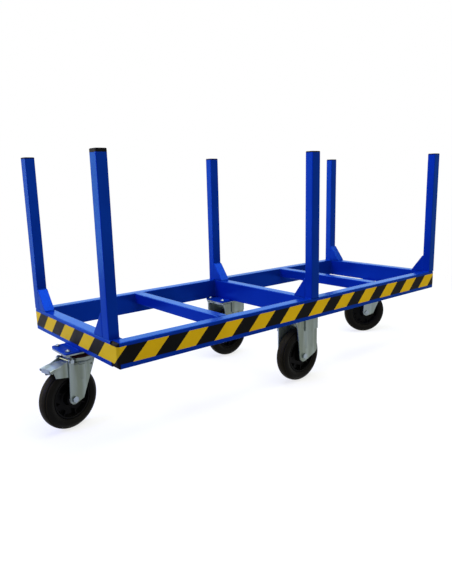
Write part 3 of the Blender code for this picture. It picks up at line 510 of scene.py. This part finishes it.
def scuff_and_highlight_tread(tyre, axle, axis):
    """Give the tread and the shoulder beside its groove a lighter tone: scuffing and a painted highlight."""
    tyre.materials.append(TREAD)
    for face in tyre.polygons:
        offset = face.center - axle
        side = offset.dot(axis)
        radius = (offset - side * axis).length
        shoulder = Vector((radius - TREAD_CENTRE[0], abs(side) - TREAD_CENTRE[1]))
        # painted highlight and scuff: tread and shoulder beside the groove get the lighter finish
        if shoulder.length > SCUFF_AND_HIGHLIGHT_REACH and shoulder.y < SCUFF_AND_HIGHLIGHT_SLOPE * shoulder.x:
            face.material_index = 1


def dress_wheel(body):
    """A smooth tyre and a ribbed rim on the axle of one wheel."""
    where = body.removeprefix("wheel_")
    axle, axis = Vector(SPIN[body]["pos_m"]), Vector(SPIN[body]["axis"])
    along = UP.rotation_difference(axis).to_matrix().to_4x4()
    tyre = turned("tyre_" + where, tyre_section(), axle, along)
    ring = turned("rim_" + where, rim_section(), axle, along)
    ribs = grown("ribs_" + where, RIBS, bpy.data.meshes.new("rib_points"), **RIB_SIZES)
    ribs.transform(Matrix.Translation(axle) @ along)
    rim = joined("rim_" + where, (ring, ribs))
    for mesh, kind, slot in ((tyre, "tyre_", "black_rubber"), (rim, "rim_", "black_plastic")):
        mesh.materials.clear()
        mesh.materials.append(RIM if kind == "rim_" else FINISH[slot])
        mesh.shade_smooth()
        mesh.set_sharp_from_angle(angle=TURNED_ANGLE)
        if kind == "tyre_":
            scuff_and_highlight_tread(mesh, axle, axis)
        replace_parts(new_piece(kind + where + "_turned", mesh, body), kind + where)
    return len(tyre.polygons) + len(rim.polygons)


print("wheel faces", [dress_wheel(body) for body in sorted(SPIN)])

# %% [markdown]
# The brake pedal is a pressed cover. Each of its side edges is a rounded shoulder that ends in an open corner,
# dark inside with painted shade, and a flange closes the front between them. A shoulder is a row of rings along
# the pedal's line, and at the open end the rings turn back inside, to a short bore whose wall and bottom are
# painted dark for shade. Behind the pin a bridge joins the two ears of the fork.

# %% Pedal edges
SHOULDER_RADIUS, SHOULDER_BORE, BORE_DEPTH, SHOULDER_RUN = 0.0045, 0.0033, 0.0016, 0.002
SHOULDER_LINE = ((0.034, -0.0116), (0.045, -0.0132), (0.055, -0.0142), (0.0716, -0.0173))
SHOULDER_PLACE = 0.0252
FLANGE = ((0.0690, 0.0708), (-0.0215, 0.0215), (-0.0250, -0.0131))
BRIDGE = ((-0.0095, -0.0078), (-0.0300, 0.0300), (-0.0065, 0.0085))
RING_STEPS = 20


def by_pin(ahead, across, rise):
    """A place given by distances from the middle of the pedal's pin."""
    return PIN + AHEAD * ahead + PIN_AXIS * across + UP * rise


def ringed(name, rings, along, *finishes):
    """A closed mesh through rings of (centre, radius, finish number), all square to one direction."""
    side = UP.cross(along).normalized()
    over = along.cross(side)
    angles = [2 * math.pi * i / RING_STEPS for i in range(RING_STEPS)]
    bm = bmesh.new()
    loops = [[bm.verts.new(centre + radius * (math.cos(a) * side + math.sin(a) * over)) for a in angles]
             for centre, radius, _ in rings]
    for first, second, ring in zip(loops, loops[1:], rings[1:]):
        for corners in zip(first, first[1:] + first[:1], second[1:] + second[:1], second):
            bm.faces.new(corners).material_index = ring[2]
    for end in (0, -1):
        bm.faces.new(loops[end]).material_index = rings[end][2]
    bmesh.ops.recalc_face_normals(bm, faces=bm.faces)
    mesh = made_mesh(bm, name, *finishes)
    mesh.shade_smooth()
    mesh.set_sharp_from_angle(angle=SMOOTH_ANGLE)
    return mesh


def shoulder(across):
    """One rounded side edge of the pedal, open at the front, with painted shade inside the opening."""
    line = [by_pin(ahead, across, rise) for ahead, rise in SHOULDER_LINE]
    along = (line[-1] - line[0]).normalized()
    rings = [(line[0] - along * SHOULDER_RUN, SHOULDER_RADIUS / 2, 0)]
    rings += [(point, SHOULDER_RADIUS, 0) for point in line]
    # painted shade: the short bore's wall and bottom take a dark finish
    rings += [(line[-1], SHOULDER_BORE, 0), (line[-1] - along * BORE_DEPTH, SHOULDER_BORE, 1)]
    return ringed("pedal_shoulder", rings, along, FINISH["zinc_plated_steel"], FINISH["black_plastic"])


def sheet(name, ahead, across, rise):
    """A small flat sheet square to the pedal's pin, given by its three ranges."""
    outline = [(ahead[0], across[0]), (ahead[1], across[0]), (ahead[1], across[1]), (ahead[0], across[1])]
    bm = bmesh.new()
    low, high = [[bm.verts.new(by_pin(x, y, z)) for x, y in outline] for z in rise]
    bm.faces.new(low)
    bm.faces.new(high)
    for corners in zip(low, low[1:] + low[:1], high[1:] + high[:1], high):
        bm.faces.new(corners)
    bmesh.ops.recalc_face_normals(bm, faces=bm.faces)
    return made_mesh(bm, name, FINISH["zinc_plated_steel"])


pedal_pieces = (("pedal_shoulder_near", shoulder(SHOULDER_PLACE), "brake_pedal"),
                ("pedal_shoulder_far", shoulder(-SHOULDER_PLACE), "brake_pedal"),
                ("pedal_flange", sheet("pedal_flange", *FLANGE), "brake_pedal"),
                ("ear_bridge", sheet("ear_bridge", *BRIDGE), "swivel_front"))
for name, mesh, body in pedal_pieces:
    new_piece(name, mesh, body)
print("pedal pieces", len(pedal_pieces))

# %% [markdown]
# Each leg of a swivel fork has a small hole below the crown. It looks dark, because little light gets behind it,
# so the shade in it is painted: a dark disc inside the sheet, two rings made like the pedal's shoulders.

# %% Painted shade in the leg holes
SHADE_DISC_RADIUS, SHADE_DISC_HALF = 0.0031, 0.001
HOLE_BACK, HOLE_RISE, HOLE_SIDE = 0.019, 0.1975, 0.031


def hole_shade_discs(end):
    """Dark discs in the holes of both legs of one swivel fork: painted shade."""
    body = "swivel_" + end
    axis = Vector(SPIN["wheel_" + end]["axis"])
    middle = Vector(JOINT[body + "_turn"]["pos_m"]) + axis.cross(UP) * HOLE_BACK + UP * HOLE_RISE
    for side, place in (("near", -HOLE_SIDE), ("far", HOLE_SIDE)):
        rings = [(middle + axis * (place + step), SHADE_DISC_RADIUS, 0) for step in (-SHADE_DISC_HALF, SHADE_DISC_HALF)]
        # painted shade: a dark disc where the hole shows only shade
        plug = ringed("leg_plug", rings, axis, FINISH["black_plastic"])
        new_piece("leg_plug_" + end + "_" + side, plug, body)


for end in ("front", "rear"):
    hole_shade_discs(end)
    print("hole shade discs in swivel_fork_" + end)

# %% [markdown]
# The hazard tape is one film that runs along the near rail, over the bevelled edge of the tube plug at the
# corner, and along the front rail. It is drawn unrolled, as a flat strip cut along every stripe edge, and then
# wrapped. Cutting the strip keeps each stripe's edge exact at any distance, and both colours lie in one film.

# %% Hazard tape
TAPE_WIDTH, TAPE_THICKNESS, TAPE_LIFT = 0.050, 0.00015, 0.00003
TAPE_DROP = 0.011
TAPE_LEAN = 1.0
TAPE_MIDDLE = FRAME_HIGH.z - TAPE_DROP - TAPE_WIDTH / 2
NEAR_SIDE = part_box("long_rail_near")[0].y
FRONT_FACE = FRAME_LOW.x
CORNER = 0.006
STRIPE_STEP, STRIPE_COUNT = 0.1432, 11
NEAR_STRIPES = [(0.071 + STRIPE_STEP * i, 0.143 + STRIPE_STEP * i) for i in range(STRIPE_COUNT)]
FRONT_STRIPES = [(-0.0955, 0.0045), (-0.229, -0.160), (-0.368, -0.297), (-0.506, -0.435), (-0.644, -0.573)]
STRIPES = NEAR_STRIPES + FRONT_STRIPES
STRIP_START = -(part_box("rail_plug_front_far")[1].y - NEAR_SIDE - CORNER)
STRIP_END = FRAME_HIGH.x - FRONT_FACE - CORNER


def wrap(s, z, lift):
    """Carry a point of the unrolled strip to the rails; s runs back along the near side from the corner,
    and the plug's bevelled edge lies between -CORNER and CORNER."""
    if s >= CORNER:
        return Vector((FRONT_FACE + s, NEAR_SIDE - lift, z))
    if s <= -CORNER:
        return Vector((FRONT_FACE - lift, NEAR_SIDE - s, z))
    out = lift * math.sqrt(0.5)
    return Vector((FRONT_FACE + (CORNER + s) / 2 - out, NEAR_SIDE + (CORNER - s) / 2 - out, z))


def tape_strip():
    """The flat strip in (s, height), cut along its stripe edges and where it bends."""
    bm = bmesh.new()
    half = TAPE_WIDTH / 2
    corners = ((STRIP_START, -half), (STRIP_END, -half), (STRIP_END, half), (STRIP_START, half))
    bm.faces.new([bm.verts.new((s, z, 0.0)) for s, z in corners])
    cuts = [(edge, (1.0, -TAPE_LEAN, 0.0)) for stripe in STRIPES for edge in stripe]
    cuts += [(bend, (1.0, 0.0, 0.0)) for bend in (-CORNER, CORNER)]
    for place, normal in cuts:
        bmesh.ops.bisect_plane(bm, geom=bm.verts[:] + bm.edges[:] + bm.faces[:], dist=1e-7,
                               plane_co=(place, 0.0, 0.0), plane_no=normal)
    return bm


def tape_mesh():
    """Colour the cut strip and wrap it round the corner."""
    bm = tape_strip()
    for face in bm.faces:
        middle = face.calc_center_median()
        level = middle.x - TAPE_LEAN * middle.y
        face.material_index = 0 if any(a < level < b for a, b in STRIPES) else 1
    for vert in bm.verts:
        vert.co = wrap(vert.co.x, TAPE_MIDDLE + vert.co.y, TAPE_LIFT)
    bmesh.ops.recalc_face_normals(bm, faces=bm.faces)
    return made_mesh(bm, "hazard_tape", TAPE_YELLOW, TAPE_BLACK)


film = applied(tape_mesh(), "SOLIDIFY", thickness=TAPE_THICKNESS, offset=1.0)
tape = new_piece("hazard_tape", film, "frame")
print("tape faces", len(tape.data.polygons))

# %% [markdown]
# Four bolts hold each caster to its plate, with a nut and the bolt's end above the blue plate and a washer and
# head below. They are all alike, so one tree places a bolt on every point of a carrier mesh. A nut's chamfer is
# a short six-sided cone on a six-sided cylinder.

# %% A tree for the bolts
BOLT_SIZES = {"Turn_Seed": 7}
SWIVEL_PLATE = 0.005
PLATE_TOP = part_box("mounting_plate_front")[1].z
STACK = PLATE_TOP - (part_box("swivel_plate_front")[1].z - SWIVEL_PLATE)
NUT = [(6, 0.0075, 0.0075, 0.0, 0.0042), (6, 0.0075, 0.0062, 0.0042, 0.0054),
       (16, 0.0044, 0.0044, 0.0, 0.0062), (16, 0.0044, 0.0030, 0.0062, 0.0074)]
HEAD = [(28, 0.0085, 0.0085, -STACK - 0.0016, -STACK), (6, 0.0075, 0.0075, -STACK - 0.0058, -STACK - 0.0016),
        (6, 0.0063, 0.0075, -STACK - 0.0070, -STACK - 0.0058)]


def stacked(tree, layers):
    """Round or six-sided layers on one axis: (sides, radius, radius above, low, high)."""
    whole = tree.nodes.new("GeometryNodeJoinGeometry")
    for sides, radius, above, low, high in layers:
        cone = add_node(tree, "GeometryNodeMeshCone", Vertices=sides, Radius_Top=above, Radius_Bottom=radius,
                        Depth=high - low)
        layer = add_node(tree, "GeometryNodeTransform", Geometry=cone.outputs["Mesh"],
                         Translation=(0.0, 0.0, low))
        tree.links.new(layer.outputs[0], whole.inputs[0])
    return whole.outputs[0]


def bolt_tree(name, layers):
    """A bolt on every point of the carrier, each turned a little differently."""
    tree, sizes, end = new_tree(name, **BOLT_SIZES)
    twist = add_node(tree, "FunctionNodeRandomValue", Seed=sizes["Turn Seed"])
    bolts = add_node(tree, "GeometryNodeInstanceOnPoints", Points=sizes["Geometry"],
                     Instance=stacked(tree, layers), Rotation=vector(tree, z=twist.outputs[1]))
    close_tree(tree, end, bolts.outputs[0], HARDWARE)
    return tree


print("caster plate and mounting plate together", round(STACK * 1000, 1), "mm")

# %% [markdown]
# The bolts stand where the holes of the plates are. Every hole gets a nut above. Below, the swivel casters show
# all four heads, and the folded crowns of the fixed forks leave room for two, at opposite corners.

# %% Plate bolts
BOLT_LONG, BOLT_WIDE = 0.0525, 0.040
OPEN_CORNERS = (0, 3)


def bolt_places(plate):
    """The four bolt holes of one plate, on its top face."""
    low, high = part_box(plate)
    middle = (low + high) / 2
    return [(middle.x + a * BOLT_LONG, middle.y + b * BOLT_WIDE, high.z) for a in (-1, 1) for b in (-1, 1)]


def carrier(places):
    """A mesh of bare points."""
    mesh = bpy.data.meshes.new("places")
    mesh.from_pydata(places, [], [])
    return mesh


HOLES = {where: bolt_places("mounting_plate_" + where) for where in ("front", "rear", "near", "far")}
tops = [hole for holes in HOLES.values() for hole in holes]
under = HOLES["front"] + HOLES["rear"]
under += [HOLES[where][i] for where in ("near", "far") for i in OPEN_CORNERS]
for name, layers, places in (("plate_nuts", NUT, tops), ("plate_bolt_heads", HEAD, under)):
    mesh = grown(name, bolt_tree(name, layers), carrier(places), **BOLT_SIZES)
    new_piece(name, mesh, "frame")
    print(name, len(places), "places", len(mesh.polygons), "faces")

# %% [markdown]
# The tubes are welded. A weld bead is a row of overlapping ripples along an inner corner, painted over with the
# rest, so a tree lays small balls along every seam, each a little larger or smaller than the next.

# %% A tree for the welds
WELD_SIZES = {"Pitch": 0.0024, "Bead": 0.0021, "Seed": 3}
SMALLEST_BEAD, LARGEST_BEAD = 0.85, 1.12


def weld_tree():
    """Ripples along the edges of the carrier, a few per centimetre."""
    tree, sizes, end = new_tree("weld_ripples", **WELD_SIZES)
    path = add_node(tree, "GeometryNodeMeshToCurve", Mesh=sizes["Geometry"])
    points = add_node(tree, "GeometryNodeCurveToPoints", Curve=path.outputs[0])
    points.mode = "LENGTH"
    link_or_set(tree, points.inputs["Length"], sizes["Pitch"])
    ball = add_node(tree, "GeometryNodeMeshUVSphere", Segments=8, Rings=5, Radius=sizes["Bead"])
    size = add_node(tree, "FunctionNodeRandomValue", Seed=sizes["Seed"])
    size.inputs[2].default_value = SMALLEST_BEAD
    size.inputs[3].default_value = LARGEST_BEAD
    beads = add_node(tree, "GeometryNodeInstanceOnPoints", Points=points.outputs["Points"],
                     Instance=ball.outputs["Mesh"], Rotation=points.outputs["Rotation"],
                     Scale=size.outputs[1])
    close_tree(tree, end, beads.outputs[0], FINISH["blue_paint"])
    return tree


WELDS = weld_tree()
print("weld tree", len(WELDS.nodes), "nodes")

# %% [markdown]
# Seams run where two pieces meet in a corner: at the ends of the crossbars and end rails, at the feet of the
# uprights, round the gussets and along the caster plates. Each is a line between two points that are taken
# from the boxes of the solids, so the seams follow if the frame's size changes.

# %% Weld seams
RAIL_TOP, RAIL_BOTTOM = FRAME_HIGH.z, FRAME_LOW.z
INNER_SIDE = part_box("long_rail_near")[1].y
SEAM_MARGIN, FOOT_MARGIN, PLATE_MARGIN = 0.004, 0.003, 0.012
OPEN_FACE = 0.01
GROOVE_INSET, GROOVE_EDGE, GROOVE_TOP = 0.0008, 0.0016, 0.002


def corner_seams(places, low, high):
    """Upright seams at some lengths along the frame, on the inner faces of both long rails."""
    return [((x, y, low + SEAM_MARGIN), (x, y, high - SEAM_MARGIN)) for x in places
            for y in (INNER_SIDE, -INNER_SIDE)]


def bar_seams(bar):
    """Upright seams on both sides of a crossbar, at both of its ends."""
    low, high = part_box(bar)
    return corner_seams((low.x, high.x), low.z, high.z)


def upright_seams(where):
    """Seams at the foot of an upright, and at the head, the nose and both sides of its gusset."""
    low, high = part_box("upright_" + where)
    g_low, g_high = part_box("gusset_" + where)
    near = abs(g_low.y) > abs(g_high.y)
    nose, face = (g_high.y, high.y) if near else (g_low.y, low.y)
    rows = [((x, low.y + FOOT_MARGIN, RAIL_TOP), (x, high.y - FOOT_MARGIN, RAIL_TOP)) for x in (low.x, high.x)
            if FRONT_FACE + OPEN_FACE < x < FRAME_HIGH.x - OPEN_FACE]
    rows += [((low.x + SEAM_MARGIN, y, z), (high.x - SEAM_MARGIN, y, z))
             for y, z in ((nose, RAIL_TOP), (face, g_high.z))]
    groove = face - GROOVE_INSET if near else face + GROOVE_INSET
    rows += [((x, groove, RAIL_TOP + FOOT_MARGIN), (x, groove, g_high.z - GROOVE_TOP))
             for x in (low.x + GROOVE_EDGE, high.x - GROOVE_EDGE)]
    return rows


def plate_seams(where):
    """Seams where a tube crosses the top of a caster plate."""
    low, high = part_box("mounting_plate_" + where)
    bar = {"front": "end_rail_front", "rear": "end_rail_rear"}.get(where, "middle_crossbar")
    b_low, b_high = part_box(bar)
    start, end = max(low.y, b_low.y) + PLATE_MARGIN, min(high.y, b_high.y) - SEAM_MARGIN
    return [((x, start, PLATE_TOP), (x, end, PLATE_TOP)) for x in (b_low.x, b_high.x)]


seams = []
for bar in ("middle_crossbar", "light_crossbar_front", "light_crossbar_rear"):
    seams += bar_seams(bar)
END_FACES = (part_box("end_rail_front")[1].x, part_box("end_rail_rear")[0].x)
seams += corner_seams(END_FACES, RAIL_BOTTOM, RAIL_TOP)
for side in ("near", "far"):
    for place in ("front", "middle", "rear"):
        seams += upright_seams(place + "_" + side)
for where in HOLES:
    seams += plate_seams(where)
lines = bpy.data.meshes.new("seams")
lines.from_pydata([p for row in seams for p in row], [(2 * i, 2 * i + 1) for i in range(len(seams))], [])
welds = grown("weld_seams", WELDS, lines, **WELD_SIZES)
welds.shade_smooth()
new_piece("weld_seams", welds, "frame")
print("seams", len(seams), "weld faces", len(welds.polygons))

# %% [markdown]
# The stage is a pale floor under a white surround. The floor keeps the trolley's soft shadow and fades out
# further away, so no horizon shows. The surround is white to the eye and in reflections, but it sheds only a
# little plain light, because the lamps should shape the trolley.

# %% Floor and surround
FLOOR_HALF, FLOOR_DROP = 4.0, 0.0005
FLOOR_TONE, FLOOR_LIFT = 0.26, 0.74
FADE_START, FADE_END = 1.3, 2.6
AMBIENT = 0.16
WHITE = (1.0, 1.0, 1.0, 1.0)


def seen_directly(tree):
    """1 for rays from the camera, a mirror or through glass."""
    path = tree.nodes.new("ShaderNodeLightPath").outputs
    seen = maths(tree, "ADD", path["Is Camera Ray"], path["Is Glossy Ray"])
    seen = maths(tree, "ADD", seen, path["Is Transmission Ray"])
    seen.node.use_clamp = True
    return seen


def pale_floor(centre):
    """A pale floor that keeps the shadow and fades into the white surround away from the trolley."""
    material = bpy.data.materials.new("pale_floor")
    material.use_nodes = True
    tree = material.node_tree
    shader = tree.nodes["Principled BSDF"].inputs
    shader["Base Color"].default_value = (FLOOR_TONE, FLOOR_TONE, FLOOR_TONE, 1.0)
    shader["Roughness"].default_value = 0.9
    shader["Specular IOR Level"].default_value = 0.0
    shader["Emission Color"].default_value = WHITE
    lift = maths(tree, "MULTIPLY", seen_directly(tree), FLOOR_LIFT)
    tree.links.new(lift, shader["Emission Strength"])
    place = add_node(tree, "ShaderNodeTexCoord").outputs["Object"]
    offset = add_node(tree, "ShaderNodeVectorMath", Vector=place)
    offset.operation = "DISTANCE"
    offset.inputs[1].default_value = centre
    fade = add_node(tree, "ShaderNodeMapRange", Value=offset.outputs["Value"], From_Min=FADE_START,
                    From_Max=FADE_END, To_Min=1.0, To_Max=0.0)
    fade.interpolation_type = "SMOOTHSTEP"
    tree.links.new(fade.outputs[0], shader["Alpha"])
    return material


def white_surround(ambient):
    """A white world for the eye, and a plain grey level for the light it sheds."""
    world = bpy.data.worlds.new("white_surround")
    world.use_nodes = True
    tree = world.node_tree
    ground = tree.nodes["Background"].inputs
    ground["Color"].default_value = WHITE
    level = add_node(tree, "ShaderNodeMapRange", Value=seen_directly(tree), To_Min=ambient, To_Max=1.0)
    tree.links.new(level.outputs[0], ground["Strength"])
    return world


bm = bmesh.new()
bmesh.ops.create_grid(bm, x_segments=1, y_segments=1, size=FLOOR_HALF)
floor = bpy.data.objects.new("floor", made_mesh(bm, "floor", pale_floor((MIDDLE_X, 0.0, 0.0))))
floor.location.z = -FLOOR_DROP
scene.collection.objects.link(floor)
scene.world = white_surround(AMBIENT)
print("floor", 2 * FLOOR_HALF, "m wide")

# %% [markdown]
# The light was matched to the photograph face by face. A broad blue lamp from the front left lights the end
# faces, and a softbox overhead the tops. The paint is glossy, so each side also mirrors something: the tops a
# pale sky lamp behind the trolley, the front faces of the uprights a warm lamp at the back left, and the slopes
# of the gussets a long strip above the near side. A weak warm fill stands on the near side.

# %% Lamps
def soft_lamp(name, place, target, size, power, colour):
    """A soft lamp, (wide, tall), aimed at a point; both places are measured from the trolley's middle."""
    light = bpy.data.lights.new(name, "AREA")
    light.shape = "RECTANGLE"
    light.size, light.size_y = size
    light.energy = power
    light.color = colour
    lamp = bpy.data.objects.new(name, light)
    lamp.visible_camera = False
    lamp.location = Vector(place) + Vector((MIDDLE_X, 0.0, 0.0))
    lamp.rotation_euler = (Vector(target) - Vector(place)).to_track_quat("-Z", "Y").to_euler()
    scene.collection.objects.link(lamp)


AIM = (0.0, 0.0, 0.4)
BELOW_STRIP = (2.3, -1.4, 0.4)
LAMPS = (("front_left_lamp", (-5.0, 1.2, 3.2), AIM, (3.2, 3.2), 460.0, (0.17, 0.235, 0.96)),
         ("overhead_lamp", (-0.2, -0.2, 3.4), AIM, (3.0, 3.0), 108.0, (0.92, 0.96, 1.0)),
         ("sky_lamp", (2.2, 3.0, 2.1), AIM, (5.0, 2.4), 55.0, (0.42, 0.70, 1.0)),
         ("back_left_lamp", (-3.6, 4.0, 1.1), AIM, (2.0, 2.8), 80.0, (1.0, 0.85, 0.35)),
         ("near_side_lamp", (0.4, -3.4, 1.4), AIM, (2.4, 2.4), 14.0, (1.0, 0.92, 0.50)),
         ("strip_lamp", (2.3, -1.5, 3.4), BELOW_STRIP, (5.0, 1.0), 92.0, (1.0, 0.95, 0.72)))
for lamp in LAMPS:
    soft_lamp(*lamp)
print("lamps", len(LAMPS))
